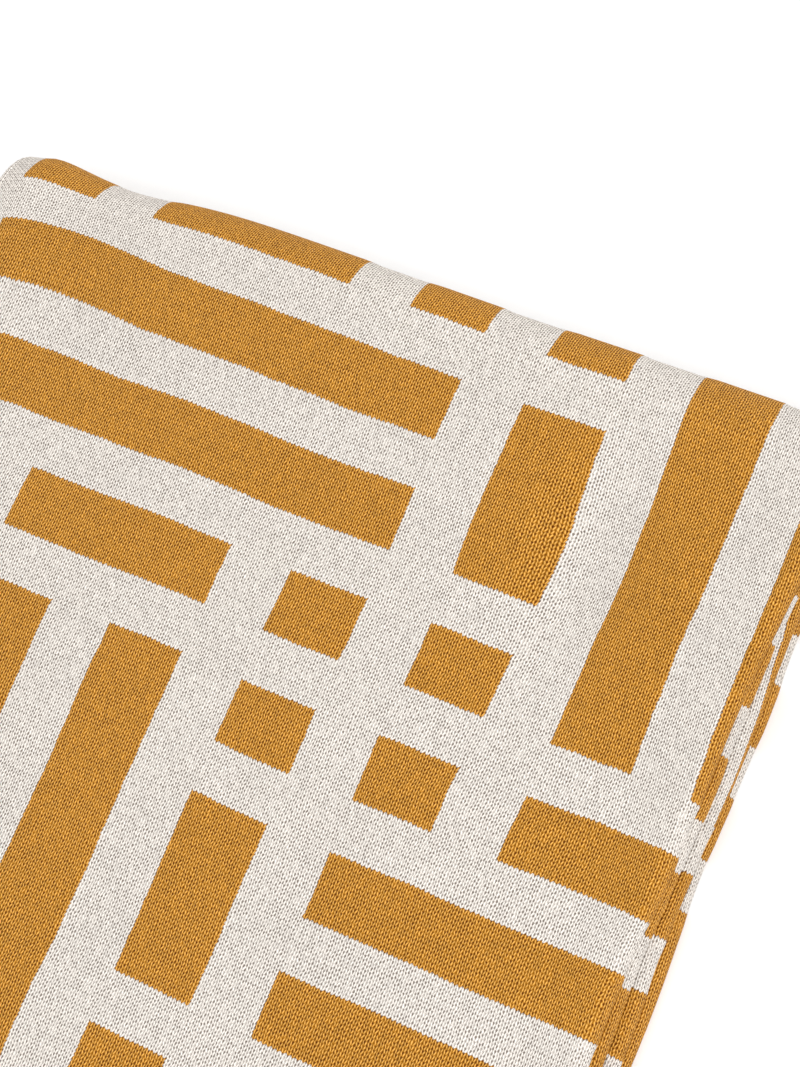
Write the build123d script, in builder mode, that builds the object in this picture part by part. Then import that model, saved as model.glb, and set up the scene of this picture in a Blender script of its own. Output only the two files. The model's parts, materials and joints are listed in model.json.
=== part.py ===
"""Folded throw blanket: one knitted panel with hemmed edges, folded into a flat square stack.

The panel is folded in three across its width: the middle third is the outside face, the left
third lies against it and the right third lies on the left one. The long strip that this makes is
folded in half, and in half again, so the stack has four leaves of three plies each.

Frame: +X to the right, +Y towards the last, rounded fold, +Z up. The origin is the centre of the
stack's underside. Along the panel's length the leaves follow each other in the order 1, 4, 3, 2.
Leaves 1 and 2 are the lower half, with the panel's two hemmed ends at the near side. Leaves 3 and
4 are the upper half, which swings over the far side when the last fold is opened.
"""

from build123d import *
from math import pi
import os

os.makedirs("parts", exist_ok=True)

# ---------------------------------------------------------------- driving dimensions, mm
panel_width = 1300.0  # the knitted panel, from side hem to side hem
panel_length = 1700.0  # the knitted panel, from start hem to end hem
ply = 4.2  # loft of one ply of the double knit as it lies in the stack
air = 0.45  # air between one ply and the next
hem_width = 12.0  # knitted edge band, the same on all four sides
fold_gap = 0.6  # space between the two halves' ends at the last fold, once it is opened
end_reach = 9.0  # how far the hemmed ends run past the start of the near fold
last_flap_reach = 2.0  # how far the right flap's free edge runs past the start of the left fold

# ---------------------------------------------------------------- the folds across the width
plies_per_leaf = 3
pitch = ply + air
half_plies = 2 * plies_per_leaf
half_thickness = half_plies * pitch - air
stack_height = 2 * half_plies * pitch - air

# The left fold joins the middle third to the flap beside it. The right fold joins it to the flap
# that lies two plies away, round the left flap's free edge.
left_fold_radius = (pitch + ply) / 2
right_fold_radius = (2 * pitch + ply) / 2
side_fold_lengths = pi * (left_fold_radius + right_fold_radius - ply)
flat_width = (panel_width - side_fold_lengths) / 3

stack_width = flat_width + left_fold_radius + right_fold_radius
x_left = left_fold_radius - stack_width / 2
x_right = x_left + flat_width

# ---------------------------------------------------------------- the folds along the length
far_roll_radius = stack_height / 2
near_fold_radius = half_thickness / 2
outer_roll_length = pi * (far_roll_radius - ply / 2)
near_fold_length = pi * (near_fold_radius - ply / 2)
inner_roll_length = pi * (air + ply) / 2
bends_length = outer_roll_length + near_fold_length + inner_roll_length
leaf_length = (panel_length - bends_length - 2 * end_reach) / 4

near_reach = max(near_fold_radius, end_reach)
stack_length = leaf_length + far_roll_radius + near_reach
y_far = stack_length / 2 - far_roll_radius
y_near = y_far - leaf_length
y_end = y_near - end_reach
leaf_stop = y_far - fold_gap / 2

far_axis = Axis((0, y_far, stack_height / 2), (1, 0, 0))
near_axis = Axis((0, y_near, stack_height - near_fold_radius), (1, 0, 0))

# Height of each leaf's outside face, and whether its flaps lie above that face (1) or below (-1).
leaf_faces = {
    1: (0.0, 1),
    2: (half_thickness, -1),
    3: (stack_height - half_thickness, 1),
    4: (stack_height, -1),
}


def leaf_plane(leaf, y):
    """Cross-section plane at y: local x is +X, local y runs from the outside face inwards."""
    z, inward = leaf_faces[leaf]
    return Plane(origin=(0, y, z), x_dir=(1, 0, 0), z_dir=(0, -inward, 0))


# ---------------------------------------------------------------- sections, at local (x, depth)
def band(x_from, x_to, ply_number):
    """One ply's thickness, ply_number plies in from the outside face."""
    with Locations((x_from, ply_number * pitch)):
        Rectangle(x_to - x_from, ply, align=(Align.MIN, Align.MIN))


def side_fold(x, radius, side):
    """Half a ring of one ply's thickness, outside x: to the right for side 1, the left for -1."""
    with BuildLine() as outline:
        outer = CenterArc((x, radius), radius, -90, side * 180)
        inner = CenterArc((x, radius), radius - ply, -90, side * 180)
        Line(outer @ 0, inner @ 0)
        Line(outer @ 1, inner @ 1)
    make_face(outline.edges())


def middle_section():
    band(x_left, x_right, 0)


def left_flap_section():
    side_fold(x_left, left_fold_radius, -1)
    band(x_left, x_right - hem_width, 1)


def right_flap_section():
    side_fold(x_right, right_fold_radius, 1)
    band(x_left - last_flap_reach + hem_width, x_right, 2)


def left_hem_section():
    band(x_right - hem_width, x_right, 1)


def right_hem_section():
    band(x_left - last_flap_reach, x_left - last_flap_reach + hem_width, 2)


def whole_section():
    middle_section()
    left_flap_section()
    left_hem_section()
    right_flap_section()
    right_hem_section()


ply_sections = {
    "middle_third": middle_section,
    "left_flap": left_flap_section,
    "right_flap": right_flap_section,
}
side_hem_sections = {"left_side_hem": left_hem_section, "right_side_hem": right_hem_section}


# ---------------------------------------------------------------- stretches of cloth
def straight(leaf, section, y_from, y_to):
    """The section carried along a leaf."""
    with BuildPart() as stretch:
        with BuildSketch(leaf_plane(leaf, y_from)):
            section()
        extrude(amount=y_to - y_from, dir=(0, 1, 0))
    return stretch


def near_bend(section):
    """The section carried half a turn from leaf 4 down to leaf 3."""
    with BuildPart() as stretch:
        with BuildSketch(leaf_plane(4, y_near)):
            section()
        revolve(axis=near_axis, revolution_arc=180)
    return stretch


def far_bend(leaf, section):
    """The section carried half a turn about the far axis, up from a leaf of the lower half.

    From leaf 1 it runs round the outside to leaf 4, and from leaf 2 inside that to leaf 3.
    A short lead joins the bend to the end of the lower leaf.
    """
    with BuildPart() as stretch:
        with BuildSketch(leaf_plane(leaf, y_far)) as start:
            section()
        revolve(start.sketch, axis=far_axis, revolution_arc=180)
        extrude(start.sketch, amount=y_far - leaf_stop, dir=(0, -1, 0))
    return stretch


def save(stretch, label):
    stretch.part.label = label
    export_step(stretch.part, f"parts/{label}.step")


# ---------------------------------------------------------------- the plies of the four leaves
for leaf in (1, 2):
    for name, section in ply_sections.items():
        save(straight(leaf, section, y_end + hem_width, leaf_stop), f"leaf_{leaf}_{name}")

for leaf in (3, 4):
    for name, section in ply_sections.items():
        save(straight(leaf, section, y_near, leaf_stop), f"leaf_{leaf}_{name}")

# ---------------------------------------------------------------- the plies round the three folds
for name, section in ply_sections.items():
    save(near_bend(section), f"near_fold_{name}")
    save(far_bend(1, section), f"outer_far_fold_{name}")
    save(far_bend(2, section), f"inner_far_fold_{name}")

# ---------------------------------------------------------------- hems on the panel's long sides
for name, section in side_hem_sections.items():
    with BuildPart() as lower_hem:
        add(straight(1, section, y_end + hem_width, leaf_stop))
        add(straight(2, section, y_end + hem_width, leaf_stop))
    save(lower_hem, f"lower_{name}")

    with BuildPart() as upper_hem:
        add(straight(3, section, y_near, leaf_stop))
        add(near_bend(section))
        add(straight(4, section, y_near, leaf_stop))
    save(upper_hem, f"upper_{name}")

    with BuildPart() as far_hem:
        add(far_bend(1, section))
        add(far_bend(2, section))
    save(far_hem, f"far_fold_{name}")

# ---------------------------------------------------------------- hems on the panel's two ends
save(straight(1, whole_section, y_end, y_end + hem_width), "start_hem")
save(straight(2, whole_section, y_end, y_end + hem_width), "end_hem")

print(f"stack {stack_width:.2f} x {stack_length:.2f} x {stack_height:.2f} mm")
print(f"last fold's axis: y {y_far:.3f}, z {stack_height / 2:.3f}")
print(f"leaf: {flat_width:.2f} wide between side folds, {leaf_length:.2f} long between folds")
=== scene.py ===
# %% [markdown]
# # A folded knitted throw
#
# A throw is one big knitted panel with a narrow band along each edge. Here it lies folded in
# three across its width and in four along its length. This lesson builds the cloth itself: every
# point of the flat panel has a place in the folded stack, so the knitted pattern runs on over
# each fold without a break, as it does on the real thing.

import json
import math

import bpy
import numpy as np
from mathutils import Matrix, Vector


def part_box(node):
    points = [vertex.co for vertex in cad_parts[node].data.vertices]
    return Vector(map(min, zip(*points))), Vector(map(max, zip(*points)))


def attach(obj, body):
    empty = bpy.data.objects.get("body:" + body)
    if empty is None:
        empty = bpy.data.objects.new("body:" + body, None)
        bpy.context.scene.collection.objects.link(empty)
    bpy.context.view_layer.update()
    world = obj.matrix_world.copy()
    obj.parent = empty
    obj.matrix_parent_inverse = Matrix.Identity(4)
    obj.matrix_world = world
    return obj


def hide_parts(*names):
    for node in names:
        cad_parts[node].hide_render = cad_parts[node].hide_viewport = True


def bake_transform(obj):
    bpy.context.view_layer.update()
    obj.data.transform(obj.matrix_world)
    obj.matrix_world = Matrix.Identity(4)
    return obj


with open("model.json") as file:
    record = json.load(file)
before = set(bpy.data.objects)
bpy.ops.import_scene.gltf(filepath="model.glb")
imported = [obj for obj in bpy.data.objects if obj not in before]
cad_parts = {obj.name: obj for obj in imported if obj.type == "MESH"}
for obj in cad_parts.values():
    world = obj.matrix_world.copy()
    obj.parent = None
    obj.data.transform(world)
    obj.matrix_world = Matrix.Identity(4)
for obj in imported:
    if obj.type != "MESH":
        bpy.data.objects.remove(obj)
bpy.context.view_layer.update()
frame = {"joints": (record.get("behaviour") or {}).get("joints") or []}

# %% [markdown]
# ## Sizes
#
# Every size of the stack comes from the design model, so nothing has to be fitted later. One ply
# is one thickness of knit as it lies, and the pitch is from one ply to the next. The hinge that
# opens the stack runs along the middle of the last fold, the big rounded one at the far side.

# %% Read the stack's sizes
top_ply_low, top_ply_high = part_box("leaf_4_middle_third")
_, low_flap_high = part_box("leaf_1_left_flap")
_, low_ply_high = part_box("leaf_1_middle_third")
start_low, start_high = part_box("start_hem")
side_hem_low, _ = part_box("lower_right_side_hem")

x_left, x_right = top_ply_low.x, top_ply_high.x
y_near = top_ply_low.y
height = top_ply_high.z
ply = top_ply_high.z - top_ply_low.z
pitch = low_flap_high.z - low_ply_high.z
_, y_far, z_middle = frame["joints"][0]["pos_m"]
y_end = start_low.y
hem_width = start_high.y - start_low.y
flap_reach = x_left - side_hem_low.x
air = pitch - ply
print(f"stack {height * 1000:.1f} mm high, ply {ply * 1000:.2f}, pitch {pitch * 1000:.2f} mm")

# %% [markdown]
# ## From the flat panel to the folded stack
#
# A fold is a line that turns. If we walk along the cloth and know how sharply it turns at each
# step, adding up the steps gives its shape, like a turtle drawing. We do this twice: once across
# the panel, where the side folds turn it into a flat spiral of three plies, and once along it,
# where the strip runs through leaves 1, 4, 3 and 2. A library of fold shapes would be another
# way, but the walk needs only lengths and radii, and it gives the length of cloth for free.


# %% Walk along a folded line
def walk(start, heading, stretches, step=0.0001):
    """Follow stretches of (length, turn in radians) from a start point.

    The heading grows evenly along each stretch, and the position is the running sum of the
    heading's cosine and sine. Returns a function of distance that gives position and heading.
    """
    ends = np.cumsum([0.0] + [length for length, _ in stretches])
    headings = heading + np.cumsum([0.0] + [turn for _, turn in stretches])
    distance = np.linspace(0.0, ends[-1], int(ends[-1] / step) + 1)
    angle = np.interp(distance, ends, headings)
    middle = (angle[1:] + angle[:-1]) / 2
    spacing = distance[1] - distance[0]
    first = np.concatenate([[start[0]], start[0] + np.cumsum(np.cos(middle)) * spacing])
    second = np.concatenate([[start[1]], start[1] + np.cumsum(np.sin(middle)) * spacing])

    def at(d):
        clipped = np.clip(d, 0.0, ends[-1])
        beyond = d - clipped
        turned = np.interp(clipped, ends, headings)
        a = np.interp(clipped, distance, first) + beyond * np.cos(turned)
        b = np.interp(clipped, distance, second) + beyond * np.sin(turned)
        return a, b, turned

    return at, ends


flat = x_right - x_left
left_radius = pitch / 2
right_radius = pitch
across, across_ends = walk(
    (x_right, pitch + ply / 2),
    math.pi,
    [
        (flat, 0.0),
        (math.pi * left_radius, math.pi),
        (flat, 0.0),
        (math.pi * right_radius, math.pi),
        (flat + flap_reach, 0.0),
    ],
)
panel_width = across_ends[-1]

outer_radius = height / 2 - ply / 2
near_radius = 3 * pitch - air / 2 - ply / 2
inner_radius = (air + ply) / 2
leaf = y_far - y_near
end_leaf = y_far - y_end
along, along_ends = walk(
    (y_end, ply / 2),
    0.0,
    [
        (end_leaf, 0.0),
        (math.pi * outer_radius, math.pi),
        (leaf, 0.0),
        (math.pi * near_radius, math.pi),
        (leaf, 0.0),
        (math.pi * inner_radius, -math.pi),
        (end_leaf, 0.0),
    ],
)
panel_length = along_ends[-1]
print(f"panel {panel_width * 1000:.0f} x {panel_length * 1000:.0f} mm")

# %% [markdown]
# ## Soft, not perfect
#
# Hand-folded cloth is never as true as a drawing. The stack is pressed thinner at its folds, its
# top is pushed a little out of line, and on the right each leaf is folded short of the one below.
# All but the last of these are one smooth bending of the space that the stack stands in. Because
# the whole space bends, two plies that were clear of each other stay clear, which separate noise
# on each ply would not give.


# %% Settle the stack
fold_left = x_left - left_radius - ply / 2
fold_right = x_right + right_radius + ply / 2
press_left, press_right, press_near = 0.12, 0.06, 0.05
bulge, dip, dip_from_left = 1.08, 0.19, 0.060
hinge_room = 0.0003


def ripple(places, waves):
    """A sum of sines: each wave has an amplitude, a wavelength for each place, and a phase."""
    total = 0.0
    for amplitude, wavelengths, phase in waves:
        turns = sum(where / wavelength for where, wavelength in zip(places, wavelengths))
        total = total + amplitude * np.sin(2 * math.pi * turns + phase)
    return total


def near_edge(distance, reach):
    """1 at an edge, falling smoothly to 0 a few reaches away, as a bell curve."""
    return np.exp(-((distance / reach) ** 2))


def settle(x, y, z):
    """Bend the drawn stack into the hand-folded one.

    Thickness: the upper half's height, and both rounded ends' reach, shrink by a share that grows
    towards the left, right and near folds. The lower half carries the weight and stays flat. The
    last fold bulges a little, but for one dip near its left end.

    Plan: points move a little in x and y by long ripples. The top is pushed towards the near side
    at its left fold, and towards the last fold at two soft spots beside it. The push turns round
    at the hinge's height, so the two halves still meet there when it opens, and both stand a hair
    back from the hinge, so that they meet without cutting in.
    """
    thin = press_left * near_edge(x - fold_left, 0.014)
    thin = thin + press_right * near_edge(x - fold_right, 0.020)
    thin = thin + press_near * near_edge(y - y_near, 0.035)
    swell = ripple((x, y), [(0.008, (0.31, 0.42), 0.4),
                            (0.006, (-0.19, 0.27), 2.1),
                            (0.004, (0.13, -0.11), 4.0)])
    share = 1.0 - thin + swell
    z_new = z_middle + (z - z_middle) * np.where(z > z_middle, 2 * share - 1, 1)
    reach = share * (bulge - dip * near_edge(x - fold_left - dip_from_left, 0.037))
    y_new = np.where(y > y_far, y_far + (y - y_far) * reach, y)
    y_new = np.where(y < y_near, y_near + (y - y_near) * share, y_new)

    x_new = x + ripple((x, y, z), [(0.0006, (0.5, 0.17, 0.09), 1.0),
                                   (0.0004, (0.21, 0.12, 0.07), 3.3)])
    push = ripple((x, y), [(0.0006, (0.24, 0.6), 3.3),
                           (0.0004, (0.11, 0.33), 3.0)])
    push = push - 0.0030 * near_edge(x - fold_left, 0.016)
    push = push + 0.0070 * (near_edge(x - fold_left - dip_from_left, 0.045)
                            * near_edge(y - y_far + 0.028, 0.028))
    push = push + 0.0028 * (near_edge(x - fold_left - 0.180, 0.060)
                            * near_edge(y - y_far + 0.010, 0.040))
    y_new = y_new + push * (z_new - z_middle) / (height / 2)
    y_new = y_new - hinge_room * near_edge(y - y_far, 0.004)
    return x_new, y_new, z_new


# %% Place a point of the panel
# The shortfall on the right, in metres, and how fast it grows away from the last fold. The share
# of it is given at each of the eight ends of the seven stretches along: leaf 1 lies lowest and
# has none, then come leaves 2, 3 and 4, which the panel reaches in the order 4, 3, 2. The cloth
# takes catch_up metres, from the left fold on, to run as far ahead as the shortfall asks.
shortfall, shortfall_growth = 0.012, 0.09
leaf_share = [0, 0, 1, 1, 0.75, 0.75, 0.26, 0.26]
catch_up = 0.05


def place(s, t, w):
    """Where a point of the panel lies: s across it, t along it, w through it from its middle.

    The walk across gives x and the depth into the leaf. The walk along gives y and z, and the
    depth is measured from it at a right angle. Negative w is the panel's face side.

    On the right, each leaf was folded a little short of the one below it. The shortfall grows
    away from the last fold as 1 - exp(-distance / 9 cm). The cloth runs that much ahead round
    the right fold, and the two hidden flaps take it up evenly.
    """
    y, z, turn_t = along(t)
    short = shortfall * (1 - np.exp(-np.clip(y_far - y, 0, 1) / shortfall_growth))
    short = short * np.interp(t, along_ends, leaf_share)
    flap_left = np.clip((panel_width - s) / (panel_width - across_ends[4]), 0, 1)
    ahead = short * np.clip((s - across_ends[2]) / catch_up, 0, 1) * flap_left
    x, depth, turn_s = across(s + ahead)
    x = x - ahead - short * np.clip(1 - s / across_ends[1], 0, 1) - w * np.sin(turn_s)
    depth = depth + w * np.cos(turn_s) - ply / 2
    y = y - depth * np.sin(turn_t)
    z = z + depth * np.cos(turn_t)
    return settle(x, y, z)


corner = place(np.array([0.0]), np.array([0.0]), 0.0)
print("the panel's first corner lies at", [round(float(c[0]), 4) for c in corner])

# %% [markdown]
# ## The pattern's place on the cloth
#
# The pattern is drawn in cells. A coloured bar fills a little over half of a cell, and a tile is
# four cells each way. Stitches are wider than they are tall, so a cell is too. The UV map of each
# piece holds the distance across and along the panel, counted in cells, with its zero where four
# small squares meet on the top leaf. One map serves the whole throw. A repeated image would be
# quicker, but its repeats could not drift as knitted cloth does when it is folded by hand.

# %% Cells and stitches
cell_across, cell_along = 0.0678, 0.05355
stitches_across, stitches_along = 29, 27
half_bar = 0.277
bar_height = 0.0005
cells_to_right_fold = 2.362
cells_to_far_fold = 3.1

pattern_x = fold_right - cells_to_right_fold * cell_across
pattern_y = y_far - cells_to_far_fold * cell_along
s_zero = across_ends[2] + (pattern_x - x_left)
t_zero = along_ends[2] + (y_far - pattern_y)

# The drift in cells at five places along the panel: beyond the top leaf, halfway along leaf 3,
# shortly before the inner fold, and at two places on leaf 2.
drift_from = [t_zero + 2.9 * cell_along,
              along_ends[4] + leaf * 0.45,
              along_ends[5] - 0.04,
              along_ends[6] + 0.10,
              along_ends[6] + 0.17]
drift_across = [0, -0.03, -0.03, -0.205, -0.205]
drift_along = [0, 0.04, 0.06, 0.50, 0.60]


def pattern_uv(s, t):
    """The place in cells.

    The knit is stretched and skewed a little along the hidden leaves. It is pulled wider next to
    the outer ply's left fold and bunched at its right one, and one spot of the top is pulled
    sideways, each by about a tenth of a cell.
    """
    u = (s - s_zero) / cell_across
    v = (t - t_zero) / cell_along
    pulled = 0.070 * near_edge(s - across_ends[2], 0.04)
    bunched = np.interp(u, [1.8, 2.1, 2.45], [0, 0.05, 0.14])
    dragged = 0.105 * near_edge(u - 1.0, 0.33) * near_edge(v + 1.7, 0.9)
    u = u + pulled + bunched - dragged + np.interp(t, drift_from, drift_across)
    v = v + np.interp(t, drift_from, drift_along)
    return np.stack([u, v], axis=-1)


print(f"one stitch is {cell_across / stitches_across * 1000:.2f} mm wide,",
      f"{cell_along / stitches_along * 1000:.2f} mm tall")


# %% [markdown]
# ## Thick cloth with raised bars
#
# The knit is about 4 mm thick, and its coloured bars stand half a millimetre proud of the ivory
# ground. A Solidify modifier could thicken a thin sheet, but it would cut into the neighbouring
# ply in the tight folds. Here both faces are placed by the same rule that placed the middle, so
# the cloth keeps to the room of its own ply everywhere, bars included.


# %% Where the bars stand proud
def bar_relief(u, v, soft=0.05):
    """1 on a coloured bar and 0 off it, with a soft edge, from places in cells.

    It is the same rule as the material's: tiles of four by four cells, turned by a quarter in
    every other tile, with long bars in two rows and square, bar, square in the other two.
    """
    turned = (np.floor(u / 4) + np.floor(v / 4)) % 2 == 1
    a, b = u % 4, v % 4
    run, row = np.where(turned, b, a), np.where(turned, a, b)

    def within(distance, reach):
        return np.clip((reach - distance) / soft + 0.5, 0, 1)

    from_middle = np.abs(run - 2)
    short = np.maximum(within(from_middle, 0.5 + half_bar),
                       within(np.abs(from_middle - 1.5), half_bar))
    bars = np.where(np.abs(row - 2) < 1, within(from_middle, 1.5 + half_bar), short)
    return bars * within(np.abs(row % 1 - 0.5), half_bar)


# %% Choose the sample points
wide_step, fine_step, end_step = 0.009, 0.0045, 0.001
turn_step = math.radians(8)


def samples(start, stop, spacing, turn=0.0):
    """Points along one stretch, closer together next to its two ends.

    A straight stretch has even steps with a short one at each end. A turning one has steps in
    the form of half a cosine wave, at least one for every 8 degrees.
    """
    if turn:
        count = int(math.ceil(abs(turn) / turn_step))
        return start + (stop - start) * (1 - np.cos(np.linspace(0, math.pi, count + 1))) / 2
    count = max(2, int(round((stop - start) / spacing)))
    inner = np.linspace(start, stop, count + 1)[1:-1]
    lead = min(end_step, (stop - start) / 8)
    return np.concatenate([[start, start + lead], inner, [stop - lead, stop]])


def stretch_samples(ends, turns, first, last, fine=()):
    """Samples of several stretches in a row, each shared end kept once.

    The stretches named as fine are the ones that show, and have twice as many samples.
    """
    parts = [samples(ends[i], ends[i + 1], fine_step if i in fine else wide_step, turns[i])
             for i in range(first, last + 1)]
    return np.unique(np.round(np.concatenate(parts), 7))


# The right fold shows, and it starts up to the shortfall earlier on the shorter leaves, so it is
# sampled as if it started earlier and turned twice as far.
across_turns = [0, math.pi, 0, 2 * math.pi, 0]
right_fold_reach = [0, 0, 0, -0.0125, 0, 0]
along_turns = [0, math.pi, 0, math.pi, 0, math.pi, 0]
print(f"steps of {fine_step * 1000:.1f} mm where it shows, {wide_step * 1000:.0f} mm elsewhere")


# %% Put arrays into a mesh
def new_object(name, points, faces, uv, materials, kinds):
    """A mesh object from arrays: points (n, 3), quads (m, 4), a uv for each point."""
    mesh = bpy.data.meshes.new(name)
    mesh.vertices.add(len(points))
    mesh.vertices.foreach_set("co", points.astype(np.float32).ravel())
    mesh.loops.add(faces.size)
    mesh.loops.foreach_set("vertex_index", faces.astype(np.int32).ravel())
    mesh.polygons.add(len(faces))
    mesh.polygons.foreach_set("loop_start", np.arange(len(faces), dtype=np.int32) * 4)
    mesh.polygons.foreach_set("material_index", kinds.astype(np.int32))
    layer = mesh.uv_layers.new(name="cloth")
    layer.data.foreach_set("uv", uv[faces.ravel()].astype(np.float32).ravel())
    for material in materials:
        mesh.materials.append(material)
    mesh.update(calc_edges=True)
    mesh.validate()
    mesh.polygons.foreach_set("use_smooth", np.ones(len(faces), dtype=bool))
    piece = bpy.data.objects.new(name, mesh)
    bpy.context.scene.collection.objects.link(piece)
    return piece


def grid_quads(rows, columns, offset=0, flip=False):
    """Corner numbers of every quad of a rows by columns grid of points."""
    i, j = np.meshgrid(np.arange(rows - 1), np.arange(columns - 1), indexing="ij")
    a = offset + i * columns + j
    quads = np.stack([a, a + 1, a + columns + 1, a + columns], axis=-1).reshape(-1, 4)
    return quads[:, ::-1] if flip else quads


# %% Turn a grid into a closed piece of cloth
def cloth_part(s, t):
    """The panel between the given samples, as two faces with a rim all round.

    The face side is the grid at half a ply to one side, sunk a little between the bars. The back
    is the same grid at half a ply to the other, and four strips of quads join their borders.
    """
    S, T = np.meshgrid(s, t, indexing="ij")
    uv = pattern_uv(S, T)
    sunk = bar_height * (1 - bar_relief(uv[..., 0], uv[..., 1]))
    front = np.stack(place(S, T, sunk - ply / 2), axis=-1).reshape(-1, 3)
    back = np.stack(place(S, T, ply / 2), axis=-1).reshape(-1, 3)
    uv = uv.reshape(-1, 2)
    rows, columns = S.shape
    count = rows * columns
    number = np.arange(count).reshape(rows, columns)
    ring = np.concatenate([number[0, :-1], number[:-1, -1], number[-1, :0:-1], number[:0:-1, 0]])
    after = np.roll(ring, -1)
    rim = np.stack([after, ring, ring + count, after + count], axis=-1)
    quads = np.concatenate([grid_quads(rows, columns),
                            grid_quads(rows, columns, count, flip=True), rim])
    kinds = np.concatenate([np.zeros((rows - 1) * (columns - 1)),
                            np.ones((rows - 1) * (columns - 1)), np.ones(len(rim))])
    return np.concatenate([front, back]), quads, np.concatenate([uv, uv]), kinds


def piece_of(name, parts, materials):
    """One object from several closed parts, each given as points, quads, uv and kinds."""
    starts = np.cumsum([0] + [len(part[0]) for part in parts])
    points, _, uv, kinds = (np.concatenate([part[i] for part in parts]) if i != 1 else None
                            for i in range(4))
    quads = np.concatenate([part[1] + start for part, start in zip(parts, starts)])
    piece = new_object(name, points, quads, uv, materials, kinds)
    piece.data.set_sharp_from_angle(angle=math.radians(55))
    print(f"{name}: {len(quads) * 2} triangles")
    return piece


# %% [markdown]
# ## Shader sums that read like sums
#
# The knit is worked out in the material: which stitch a point is in, which colour that stitch
# has, and where on its two slanted legs the point lies. An image of knitting would be quicker to
# set up, but it would blur close up and its pattern could not follow the cloth's own map. The
# class below lets the node sums be written as plain expressions.


# %% A socket that can be added, multiplied and compared
class Value:
    """One number output of a node tree. Arithmetic on it adds Math nodes."""

    def __init__(self, graph, socket):
        self.graph = graph
        self.socket = socket

    def _sum(self, operation, *others, flip=False):
        inputs = [self, *others]
        if flip:
            inputs.reverse()
        node = self.graph.node("ShaderNodeMath", {"operation": operation}, dict(enumerate(inputs)))
        return Value(self.graph, node.outputs[0])

    def __add__(self, other):
        return self._sum("ADD", other)

    def __sub__(self, other):
        return self._sum("SUBTRACT", other)

    def __rsub__(self, other):
        return self._sum("SUBTRACT", other, flip=True)

    def __mul__(self, other):
        return self._sum("MULTIPLY", other)

    def __truediv__(self, other):
        return self._sum("DIVIDE", other)

    def __mod__(self, other):
        return self._sum("FLOORED_MODULO", other)

    def __lt__(self, other):
        return self._sum("LESS_THAN", other)

    def __abs__(self):
        return self._sum("ABSOLUTE")

    __radd__ = __add__
    __rmul__ = __mul__

    def floor(self):
        return self._sum("FLOOR")

    def fraction(self):
        return self._sum("FRACT")

    def larger(self, other):
        return self._sum("MAXIMUM", other)

    def smaller(self, other):
        return self._sum("MINIMUM", other)

    def power(self, other):
        return self._sum("POWER", other)


# %% A node tree that takes any node
class Graph:
    """A material's node tree, with one method that adds any node."""

    def __init__(self, name):
        self.material = bpy.data.materials.new(name)
        self.material.use_nodes = True
        self.tree = self.material.node_tree
        self.tree.nodes.clear()

    def node(self, kind, settings=None, inputs=None):
        """Add a node, set its settings first, then give its inputs values or links."""
        made = self.tree.nodes.new(kind)
        for key, value in (settings or {}).items():
            setattr(made, key, value)
        for key, value in (inputs or {}).items():
            socket = value.socket if isinstance(value, Value) else value
            if isinstance(socket, bpy.types.NodeSocket):
                self.tree.links.new(socket, made.inputs[key])
            else:
                made.inputs[key].default_value = socket
        return made

    def value(self, socket):
        return Value(self, socket)

    def mix(self, share, first, second):
        """Colour between first and second by share, through a Mix node."""
        made = self.node("ShaderNodeMix", {"data_type": "RGBA", "clamp_factor": True},
                         {0: share, 6: first, 7: second})
        return made.outputs[2]

    def noise(self, vector, scale, detail=2.0):
        """Smooth noise from 0 to 1 at a vector."""
        made = self.node("ShaderNodeTexNoise", {"noise_dimensions": "2D"},
                         {"Vector": vector, "Scale": scale, "Detail": detail})
        return self.value(made.outputs["Fac"])

    def dice(self, a, b):
        """An unrepeated number from 0 to 1 for each pair of whole numbers."""
        pair = self.node("ShaderNodeCombineXYZ", inputs={0: a, 1: b})
        made = self.node("ShaderNodeTexWhiteNoise", {"noise_dimensions": "2D"},
                         {"Vector": pair.outputs[0]})
        return self.value(made.outputs["Value"])


def linear(red, green, blue):
    """A screen colour, 0 to 255, as the linear numbers that a shader works in."""
    def one(c):
        c = c / 255
        return c / 12.92 if c <= 0.04045 else ((c + 0.055) / 1.055) ** 2.4

    return (one(red), one(green), one(blue), 1.0)


# %% [markdown]
# ## The double-jacquard knit
#
# A plain knitted stitch looks like a V. Two yarn legs lean together towards the start of the
# knitting, and small dark pits stay open between the legs of one V and between neighbours.
# Because each V ends in a point, a colour edge across the columns is a row of teeth, while an
# edge along them is smooth. So the row number is found on a slanted scale, and the pattern is
# looked up with whole stitch numbers: the teeth then come by themselves.


# %% Which stitch has which colour
def bar_pattern(across_cells, along_cells):
    """1 where a stitch is coloured, from its place in cells.

    Tiles of four by four cells alternate like a chessboard between bars that run across and bars
    that run along. In a tile, the two middle rows hold one long bar each, and the two outer rows
    hold a square, a bar two cells long, and a square.
    """
    odd_tile = ((across_cells / 4).floor() + (along_cells / 4).floor()) % 2
    a, b = across_cells % 4, along_cells % 4
    run = a + (b - a) * odd_tile
    row = b + (a - b) * odd_tile
    in_row = abs(row.fraction() - 0.5) < half_bar
    middle_row = abs(row - 2) < 1
    from_middle = abs(run - 2)
    long_bar = from_middle < 1.5 + half_bar
    short_bar = (from_middle < 0.5 + half_bar).larger(abs(from_middle - 1.5) < half_bar)
    return in_row * (short_bar + (long_bar - short_bar) * middle_row)


# %% The shape of a stitch
# All in columns across and rows down
pit_width, pit_length = 0.17, 0.38
leg_lean, leg_width = 0.16, 0.25


def pit_at(graph, beside, row, number):
    """A long thin pit: an ellipse in the distances beside and along, deeper in some stitches,
    where its painted shade is darker.
    """
    beyond = (row + 0.5).fraction() - 0.5
    shape = 1 - (beside / pit_width).power(2) - (beyond / pit_length).power(2)
    return shape.larger(0) * (0.35 + 1.2 * graph.dice(number, (row + 0.5).floor()))


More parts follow.
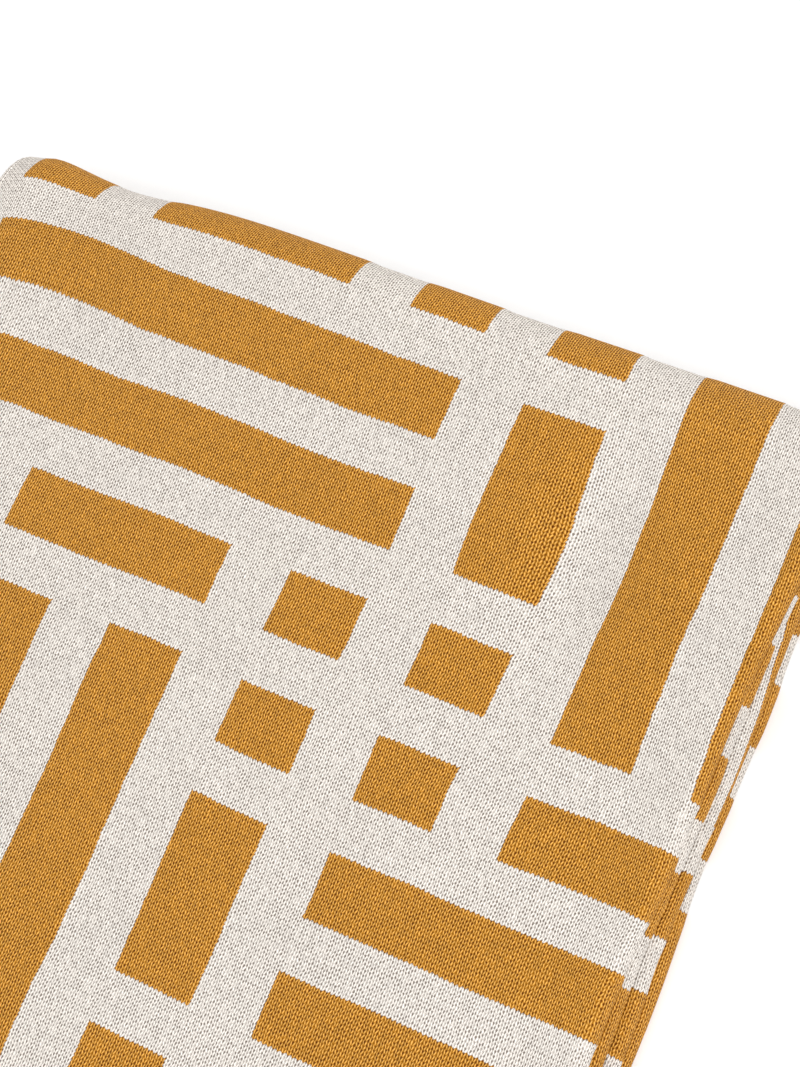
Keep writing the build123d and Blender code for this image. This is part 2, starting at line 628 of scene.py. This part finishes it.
def stitch_shape(graph):
    """The parts of a knit stitch at a point: place in the pattern, height and pit depth.

    m is the distance from the column's middle, 0 to a half. f runs from 0 to 1 down the V. A
    leg is a parabola across a centre line that leans inwards down the V. A pit is a small
    ellipse, one between the legs at the top of the V and one between two columns at its foot.
    Two noises let the columns and rows wander. luck is one number for each leg.
    """
    uv = graph.node("ShaderNodeUVMap", {"uv_map": "cloth"}).outputs[0]
    parts = graph.node("ShaderNodeSeparateXYZ", inputs={0: uv})
    u, v = graph.value(parts.outputs[0]), graph.value(parts.outputs[1])
    wander = graph.noise(uv, 3.1) - 0.5
    jitter = graph.noise(uv, 19.0) - 0.5
    column = u * stitches_across + wander * 0.5 + jitter * 0.35
    m = abs(column.fraction() - 0.5)
    row = v * stitches_along + m + wander * 0.6 - jitter * 0.4
    f = row.fraction()
    row_number = row.floor()
    column_number = (column + 0.3 * (f - 0.5)).floor()
    mustard = bar_pattern((column_number + 1) / stitches_across,
                          (row_number + 0.5) / stitches_along)

    leg_middle = 0.25 - leg_lean * (f - 0.5)
    leg = 1 - ((m - leg_middle) / leg_width).power(2)
    plump = 1 - 0.5 * (2 * f - 1).power(2)
    leg_height = leg.larger(0) * plump

    luck = graph.dice((column * 2).floor(), row_number)
    pit = pit_at(graph, m, row - 0.05, column_number)
    pit = pit.larger(pit_at(graph, 0.5 - m, row - 0.10, (column + 0.5).floor() + 0.5))
    return uv, mustard, leg_height, pit.smaller(1), luck, row_number


# %% Build the two sides of the knit
# Each yarn has its own colour down the side of a leg. A lighter copy on top of the leg is a
# painted highlight, and a dark copy is painted shade deep in the pits and grooves.
ivory_top_highlight = linear(248, 241, 232)
ivory_side = linear(238, 230, 221)
ivory_painted_shade = linear(92, 70, 54)
mustard_top_highlight = linear(236, 179, 93)
mustard_side = linear(204, 133, 14)
mustard_painted_shade = linear(100, 42, 0)
sheen_tint = (1.0, 0.96, 0.9, 1.0)


def by_yarn(mustard, for_ivory, for_mustard):
    """One of two numbers, by the stitch's yarn."""
    return for_ivory + (for_mustard - for_ivory) * mustard


def knit(name, reversed_colours=False):
    """Double-jacquard knit: the face, or the back, where the two yarns change places.

    The leg tops carry a painted highlight, and the grooves beside the legs and the pits carry
    painted shade, a mix of the yarn towards its dark shade colour. Brightness differs a little
    from leg to leg, from row to row, and in soft clouds some stitches wide.
    """
    graph = Graph(name)
    uv, mustard, leg_height, pit, luck, row_number = stitch_shape(graph)
    if reversed_colours:
        mustard = 1 - mustard
    # Painted light: leg is the painted highlight on the leg tops, side is the yarn's own colour,
    # and deep is the painted shade in the grooves and pits.
    leg = graph.mix(mustard, ivory_top_highlight, mustard_top_highlight)
    side = graph.mix(mustard, ivory_side, mustard_side)
    deep = graph.mix(mustard, ivory_painted_shade, mustard_painted_shade)
    # The painted highlight fades to the yarn's own colour down each leg, and painted shade darkens
    # the grooves and the pits.
    yarn = graph.mix((1 - leg_height) * 1.6, leg, side)
    groove = (1 - leg_height) * by_yarn(mustard, 0.05, 0.42)
    shade = (groove + pit * by_yarn(mustard, 0.76, 0.62)).smaller(1)
    colour = graph.mix(shade, yarn, deep)
    cloudy = graph.noise(uv, 0.9, 3.0) - 0.5
    course_luck = graph.dice(row_number, 0 * row_number)
    bright = 0.97 + by_yarn(mustard, 0.12, 0.22) * (luck - 0.5) + 0.04 * (course_luck - 0.5)
    bright = bright + 0.07 * cloudy
    tone = graph.node("ShaderNodeVectorMath", {"operation": "SCALE"}, {0: colour, "Scale": bright})
    fibre = graph.noise(uv, 160.0, 1.0)
    relief = leg_height - pit * 0.9 + fibre * 0.12
    bump = graph.node("ShaderNodeBump", inputs={"Strength": 0.8, "Distance": 0.0009,
                                                "Height": relief})
    shader = graph.node("ShaderNodeBsdfPrincipled", inputs={
        "Base Color": tone.outputs[0], "Roughness": 0.86 + 0.1 * pit, "Normal": bump.outputs[0],
        "Sheen Weight": 0.03, "Sheen Roughness": 0.4, "Sheen Tint": sheen_tint,
        "Specular IOR Level": 0.08})
    graph.node("ShaderNodeOutputMaterial", inputs={0: shader.outputs[0]})
    return graph.material


knit_face = knit("knit_face")
knit_back = knit("knit_back", reversed_colours=True)
print("knit materials:", len(knit_face.node_tree.nodes), "nodes each")

# %% [markdown]
# ## The hem bands and the linking thread
#
# The panel's four edges are finished with a narrow ribbed band, knitted double so that it closes
# over the raw edge like a sleeve. It is linked to the panel with a thread in the ivory colour.
# The band could be a stripe painted on the cloth, but it is thicker than the cloth and has its
# own round edge, so it is made as a sleeve. Its rib is a row of small ridges across the band.


# %% The band's and the thread's yarn
def ribbed_band(name):
    """Rib: ridges across the band, each a parabola of the distance along it, with stitches."""
    graph = Graph(name)
    uv = graph.node("ShaderNodeUVMap", {"uv_map": "cloth"}).outputs[0]
    parts = graph.node("ShaderNodeSeparateXYZ", inputs={0: uv})
    along_band, around = graph.value(parts.outputs[0]), graph.value(parts.outputs[1])
    wander = graph.noise(uv, 0.35) - 0.5
    ridge = 1 - (2 * abs((along_band + 0.3 * wander).fraction() - 0.5)).power(2)
    stitch = 1 - (2 * abs((around + 0.4 * wander).fraction() - 0.5)).power(2)
    luck = graph.dice(along_band.floor(), around.floor())
    # hollow marks the hollows between the ridges and the stitches: the ridge tops take the ivory
    # painted highlight, and the hollows mix towards the painted shade, deeper at random. It also
    # raises the roughness.
    hollow = (1 - ridge) * 0.75 + (1 - stitch) * ridge * 0.35
    colour = graph.mix(hollow * (0.5 + 0.4 * luck), ivory_top_highlight, ivory_painted_shade)
    relief = ridge + 0.35 * stitch + 0.1 * graph.noise(uv, 9.0, 1.0)
    bump = graph.node("ShaderNodeBump", inputs={"Strength": 0.6, "Distance": 0.0006,
                                                "Height": relief})
    shader = graph.node("ShaderNodeBsdfPrincipled", inputs={
        "Base Color": colour, "Roughness": 0.85 + 0.1 * hollow, "Normal": bump.outputs[0],
        "Sheen Weight": 0.25, "Sheen Roughness": 0.45, "Sheen Tint": sheen_tint,
        "Specular IOR Level": 0.25})
    graph.node("ShaderNodeOutputMaterial", inputs={0: shader.outputs[0]})
    return graph.material


def twisted_thread(name):
    """Two-ply thread: slanted stripes round it, with the grooves between the plies darkened by
    painted shade.
    """
    graph = Graph(name)
    uv = graph.node("ShaderNodeUVMap", {"uv_map": "cloth"}).outputs[0]
    parts = graph.node("ShaderNodeSeparateXYZ", inputs={0: uv})
    twist = graph.value(parts.outputs[0]) * 3 + graph.value(parts.outputs[1]) * 2
    groove = (2 * abs(twist.fraction() - 0.5)).power(3)
    # Painted shade in the grooves between the two plies.
    colour = graph.mix(groove * 0.6, linear(240, 232, 220), ivory_painted_shade)
    bump = graph.node("ShaderNodeBump", inputs={"Strength": 0.6, "Distance": 0.0002,
                                                "Height": 1 - groove})
    shader = graph.node("ShaderNodeBsdfPrincipled", inputs={
        "Base Color": colour, "Roughness": 0.7 + 0.1 * groove, "Normal": bump.outputs[0],
        "Sheen Weight": 0.2, "Sheen Tint": sheen_tint, "Specular IOR Level": 0.3})
    graph.node("ShaderNodeOutputMaterial", inputs={0: shader.outputs[0]})
    return graph.material


hem_knit = ribbed_band("hem_rib")
thread_yarn = twisted_thread("linking_thread")


# %% A sleeve along an edge of the panel
band_thickness = 0.0046
rib_pitch = 0.0026


def outward(points, quads):
    """The same faces, turned round if they look inwards.

    Each quad has two triangles. The sum of a . (b x c) over all of them is six times the volume
    inside, so it is negative where the faces look inwards.
    """
    a, b, c, d = (points[quads[:, i]] for i in range(4))
    volume = np.sum(a * np.cross(b, c)) + np.sum(a * np.cross(c, d))
    return quads if volume > 0 else quads[:, ::-1]


def sleeve_part(edge, run, inward, crosswise):
    """A closed band along one edge of the panel.

    Its section is a rounded oblong: the cosine to the power 0.55, as wide as the hem, and the sine
    to the power 0.8, as thick as the band. The section is carried along the run, and a strip of
    quads from one of its faces to the other closes each end. crosswise is true where the run goes
    across the panel.
    """
    count = 20
    angle = np.linspace(0, 2 * math.pi, count, endpoint=False)
    wide = np.sign(np.cos(angle)) * np.abs(np.cos(angle)) ** 0.55
    deep = np.sign(np.sin(angle)) * np.abs(np.sin(angle)) ** 0.8
    middle = edge + inward * hem_width / 2
    R, E = np.meshgrid(run, middle + wide * hem_width / 2, indexing="ij")
    W = np.broadcast_to(deep * band_thickness / 2, R.shape)
    s, t = (R, E) if crosswise else (E, R)
    points = np.stack(place(s, t, W), axis=-1).reshape(-1, 3)
    around = np.broadcast_to(angle * 0.9, R.shape)
    uv = np.stack([R / rib_pitch, around], axis=-1).reshape(-1, 2)
    i, k = np.meshgrid(np.arange(len(run) - 1), np.arange(count), indexing="ij")
    a, b = i * count + k, i * count + (k + 1) % count
    sides = np.stack([a, b, b + count, a + count], axis=-1).reshape(-1, 4)
    k = np.arange(count // 2 - 1)
    cap = np.stack([k, count - 1 - k, count - 2 - k, k + 1], axis=-1)
    first_cap, last_cap = cap, cap[:, ::-1] + (len(run) - 1) * count
    quads = outward(points, np.concatenate([sides, first_cap, last_cap]))
    return points, quads, uv, np.zeros(len(quads))


# %% A row of whip stitches
thread_pitch, thread_length, thread_radius = 0.0052, 0.0042, 0.00042
thread_gap, thread_lean = 0.0004, 0.0006
thread_depth, thread_rise = 0.0013, 0.0006


def thread_part(edge, run_start, run_stop, inward, crosswise):
    """Whip stitches of thread in a row along the band's inner side.

    A stitch is a short capsule that dips into the knit at both ends: its middle line is half a
    cosine wave in height, its radius falls as the root of 1 - p^4 at the ends, where p is -1 and
    1, and it leans along the run.
    """
    rings, around = 5, 6
    count = max(1, int((run_stop - run_start) / thread_pitch))
    centre = run_start + (np.arange(count) + 0.5) * (run_stop - run_start) / count
    p = np.linspace(-1, 1, rings)
    angle = np.linspace(0, 2 * math.pi, around, endpoint=False)
    C, P, A = np.meshgrid(centre, p, angle, indexing="ij")
    swell = np.sqrt(np.maximum(0.06, 1 - P ** 4)) * thread_radius
    E = edge + inward * (hem_width + thread_gap + P * thread_length / 2)
    R = C + P * thread_lean + swell * np.cos(A)
    W = -(thread_depth + thread_rise * np.cos(P * math.pi / 2)) - swell * np.sin(A)
    s, t = (R, E) if crosswise else (E, R)
    points = np.stack(place(s, t, W), axis=-1).reshape(-1, 3)
    uv = np.stack([P, A / (2 * math.pi)], axis=-1).reshape(-1, 2)
    n, i, k = np.meshgrid(np.arange(count), np.arange(rings - 1), np.arange(around), indexing="ij")
    base = n * rings * around + i * around
    a, b = base + k, base + (k + 1) % around
    sides = np.stack([a, b, b + around, a + around], axis=-1).reshape(-1, 4)
    n, k = np.meshgrid(np.arange(count), np.arange(around // 2 - 1), indexing="ij")
    base = n * rings * around
    cap = np.stack([base + k, base + around - 1 - k, base + around - 2 - k, base + k + 1],
                   axis=-1).reshape(-1, 4)
    quads = outward(points, np.concatenate([sides, cap, cap[:, ::-1] + (rings - 1) * around]))
    return points, quads, uv, np.zeros(len(quads))


print("rib:", round(panel_length / rib_pitch), "ridges along each side")

# %% [markdown]
# ## The leaves and the folds
#
# The lower half of the stack is leaf 1 and leaf 2, two separate stretches of the panel. The upper
# half is one stretch: leaf 4, round the near fold, and leaf 3. The last fold joins the halves with
# an outer and an inner stretch of cloth. Those two bend when the stack is opened, so each is a
# piece of its own, tied to neither half.

# %% Samples of each stretch
s_all = stretch_samples(across_ends + right_fold_reach, across_turns, 0, 4, fine=[2])
s_cloth = s_all[(s_all > hem_width / 2) & (s_all < panel_width - hem_width / 2)]
t_leaf_1 = stretch_samples(along_ends, along_turns, 0, 0)
t_outer = stretch_samples(along_ends, along_turns, 1, 1)
t_upper = stretch_samples(along_ends, along_turns, 2, 4, fine=[2])
t_inner = stretch_samples(along_ends, along_turns, 5, 5)
t_leaf_2 = stretch_samples(along_ends, along_turns, 6, 6)
print(len(s_cloth), "samples across,", len(t_upper), "along the upper half")


# %% Make the cloth
def ply_nodes(*starts):
    """The design model's nodes for the three plies of each named stretch."""
    return [f"{a}_{b}" for a in starts for b in ("middle_third", "left_flap", "right_flap")]


knit_sides = [knit_face, knit_back]
leaf_1 = piece_of("leaf_1_cloth", [cloth_part(s_cloth, t_leaf_1[t_leaf_1 > hem_width / 2])],
                  knit_sides)
leaf_2 = piece_of("leaf_2_cloth",
                  [cloth_part(s_cloth, t_leaf_2[t_leaf_2 < panel_length - hem_width / 2])],
                  knit_sides)
upper = piece_of("upper_cloth", [cloth_part(s_cloth, t_upper)], knit_sides)
outer_fold = piece_of("outer_far_fold_cloth", [cloth_part(s_cloth, t_outer)], knit_sides)
inner_fold = piece_of("inner_far_fold_cloth", [cloth_part(s_cloth, t_inner)], knit_sides)

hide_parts(*ply_nodes("leaf_1"))
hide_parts(*ply_nodes("leaf_2"))
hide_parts(*ply_nodes("leaf_3", "leaf_4", "near_fold"))
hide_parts(*ply_nodes("outer_far_fold"))
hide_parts(*ply_nodes("inner_far_fold"))


# %% Make the bands and the thread
def side_parts(edge, inward, spans):
    """Sleeves along one side edge of the panel, one for each span of samples."""
    return [sleeve_part(edge, span, inward, False) for span in spans]


start_band = piece_of("start_hem_band", [sleeve_part(0.0, s_all, 1, True)], [hem_knit])
end_band = piece_of("end_hem_band", [sleeve_part(panel_length, s_all, -1, True)], [hem_knit])
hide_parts("start_hem")
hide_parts("end_hem")

corner_gap = hem_width + 0.0003
t_leaf_1_side = np.concatenate([[corner_gap], t_leaf_1[t_leaf_1 > corner_gap + 0.001]])
last = panel_length - corner_gap
t_leaf_2_side = np.concatenate([t_leaf_2[t_leaf_2 < last - 0.001], [last]])
side_bands, threads = {}, {}
for side, edge, inward in (("left", 0.0, 1), ("right", panel_width, -1)):
    for stretch, spans in (("lower", [t_leaf_1_side, t_leaf_2_side]), ("upper", [t_upper]),
                           ("outer_far_fold", [t_outer]), ("inner_far_fold", [t_inner])):
        name = f"{stretch}_{side}_hem_band"
        side_bands[stretch, side] = piece_of(name, side_parts(edge, inward, spans), [hem_knit])
        threads.setdefault(stretch, []).extend(
            thread_part(edge, span[0], span[-1], inward, False) for span in spans)
    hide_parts(f"lower_{side}_side_hem")
    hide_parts(f"upper_{side}_side_hem")
    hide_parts(f"far_fold_{side}_side_hem")
threads["lower"] += [thread_part(0.0, corner_gap, panel_width - corner_gap, 1, True),
                     thread_part(panel_length, corner_gap, panel_width - corner_gap, -1, True)]
thread_pieces = {stretch: piece_of(f"{stretch}_linking_thread", parts, [thread_yarn])
                 for stretch, parts in threads.items()}


# %% [markdown]
# ## What moves with what
#
# When the stack is opened, its upper half swings over about the last fold. The leaves, their bands
# and their thread ride on one half each. The last fold's cloth belongs to neither and is left
# where it lies. Cutting it in two at the hinge would be simpler, but it would show a split as soon
# as the stack opens.


# %% Tie everything to the bodies
def bend_with_hinge(piece):
    """Bake the piece's transform into its points; it rides on neither half."""
    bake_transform(piece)


for piece in (leaf_1, leaf_2, start_band, end_band, thread_pieces["lower"],
              side_bands["lower", "left"], side_bands["lower", "right"]):
    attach(piece, "lower_half")
for piece in (upper, thread_pieces["upper"],
              side_bands["upper", "left"], side_bands["upper", "right"]):
    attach(piece, "upper_half")
for stretch, cloth_piece, reach in (("outer_far_fold", outer_fold, height / 2),
                                    ("inner_far_fold", inner_fold, height / 4)):
    for piece in (cloth_piece, thread_pieces[stretch],
                  side_bands[stretch, "left"], side_bands[stretch, "right"]):
        bend_with_hinge(piece)

# %% [markdown]
# ## What the cloth was before it was folded
#
# Each stretch prints the size it was cut to. The widths and lengths come straight from the walks,
# which measure along the cloth. The inner stretch is so tight that its two flaps turn on far
# larger arcs, so it is measured along its middle ply.


def declare(piece, length):
    """Print how large a piece was cut."""
    print(f"{piece.name}: {panel_width:.3f} x {length:.3f} m flat")


declare(leaf_1, along_ends[1])
declare(leaf_2, panel_length - along_ends[6])
declare(upper, along_ends[5] - along_ends[2])
declare(outer_fold, along_ends[2] - along_ends[1])
declare(inner_fold, math.pi * 1.5 * pitch)

# %% [markdown]
# ## Floor, light and camera
#
# A white floor and a bright, soft room light, with one large softbox behind the stack. The softbox
# grazes the last fold and draws out the stitches, and the bright room keeps every shadow light.


# %% Light the stage
def plain_surface(name, colour, roughness):
    """A material of one colour and one roughness."""
    graph = Graph(name)
    shader = graph.node("ShaderNodeBsdfPrincipled", inputs={"Base Color": colour,
                                                           "Roughness": roughness})
    graph.node("ShaderNodeOutputMaterial", inputs={0: shader.outputs[0]})
    return graph.material


floor_mesh = bpy.data.meshes.new("floor")
floor_reach = 6.0
floor_height = -0.0008
floor_mesh.from_pydata([(x * floor_reach, y * floor_reach, floor_height)
                        for x, y in ((-1, -1), (1, -1), (1, 1), (-1, 1))], [], [(0, 1, 2, 3)])
floor_mesh.materials.append(plain_surface("pale_floor", (0.9, 0.9, 0.9, 1), 0.6))
floor = bpy.data.objects.new("floor", floor_mesh)
bpy.context.scene.collection.objects.link(floor)

world = bpy.data.worlds.new("studio")
bpy.context.scene.world = world
world.use_nodes = True
background = world.node_tree.nodes["Background"]
background.inputs["Color"].default_value = (1.0, 1.0, 1.0, 1.0)
background.inputs["Strength"].default_value = 1.04


def softbox(name, azimuth, elevation, distance, size, power):
    """A square area light, aimed at the middle of the stack."""
    lamp = bpy.data.lights.new(name, "AREA")
    lamp.shape = "SQUARE"
    lamp.size = size
    lamp.energy = power
    a, e = math.radians(azimuth), math.radians(elevation)
    away = Vector((math.sin(a) * math.cos(e), -math.cos(a) * math.cos(e), math.sin(e)))
    light = bpy.data.objects.new(name, lamp)
    light.location = Vector((0, 0, height)) + away * distance
    light.rotation_euler = (-away).to_track_quat("-Z", "Y").to_euler()
    bpy.context.scene.collection.objects.link(light)
    return light


softbox("back_softbox", 170, 40, 1.8, 1.2, 6)
softbox("side_softbox", 60, 50, 2.2, 1.2, 20)
bpy.context.scene.view_settings.view_transform = "Standard"

# %% [markdown]
# ## The camera
#
# The camera stands high over the right side and is rolled, so that the stack lies across the
# picture like a diamond. It is aimed at the pattern, whose cells set the scale of the view.

# %% Place the camera
# The aim's place on the pattern and the distance from it are counted in cells.
azimuth, elevation, roll = (math.radians(d) for d in (56.761, 71.274, 34.483))
aim_across, aim_along, away = -0.2106, 1.0937, 13.049
back = Vector((math.sin(azimuth) * math.cos(elevation),
               -math.cos(azimuth) * math.cos(elevation), math.sin(elevation)))
level_right = Vector((math.cos(azimuth), math.sin(azimuth), 0))
level_up = back.cross(level_right)
up = math.cos(roll) * level_up + math.sin(roll) * level_right
right = math.cos(roll) * level_right - math.sin(roll) * level_up
aim = Vector((pattern_x + aim_across * cell_across, pattern_y + aim_along * cell_across, height))

camera_data = bpy.data.cameras.new("camera")
camera_data.lens = 67.5
camera_data.sensor_width = 36
camera = bpy.data.objects.new("camera", camera_data)
bpy.context.scene.collection.objects.link(camera)
spin = Matrix((right, up, back)).transposed().to_4x4()
camera.matrix_world = Matrix.Translation(aim + back * away * cell_across) @ spin
bpy.context.scene.camera = camera
print("camera at", [round(c, 3) for c in camera.matrix_world.translation])
